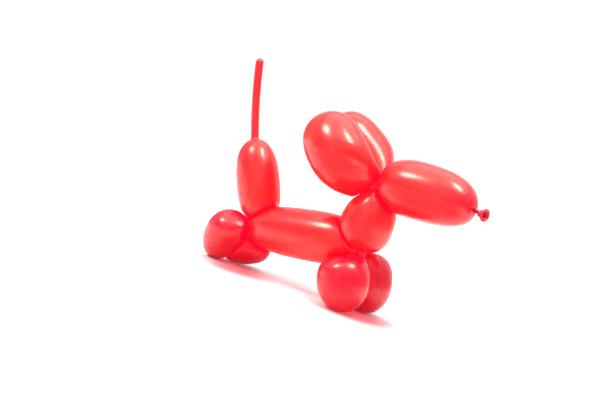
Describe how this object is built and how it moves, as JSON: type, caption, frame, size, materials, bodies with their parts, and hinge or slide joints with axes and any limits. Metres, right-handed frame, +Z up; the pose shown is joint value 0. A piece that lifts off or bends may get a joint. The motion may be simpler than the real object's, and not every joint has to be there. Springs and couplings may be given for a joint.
{
  "type": "balloon dog",
  "caption": "Balloon dog twisted from a long modelling balloon, with round bubbles for muzzle, ears, neck, legs, body and tail; a toy figure that stands on its feet.",
  "frame": {"origin": "on the floor, under the middle of the dog's bounding box", "axes": "+X towards the nose, +Y towards the dog's left side, +Z up"},
  "size_m": [0.2932, 0.1056, 0.2098],
  "materials": {
    "red_balloon_latex": "glossy, slightly translucent red latex"
  },
  "bodies": {
    "root": {"balloon_poodle": "red_balloon_latex"}
  },
  "joints": []
}
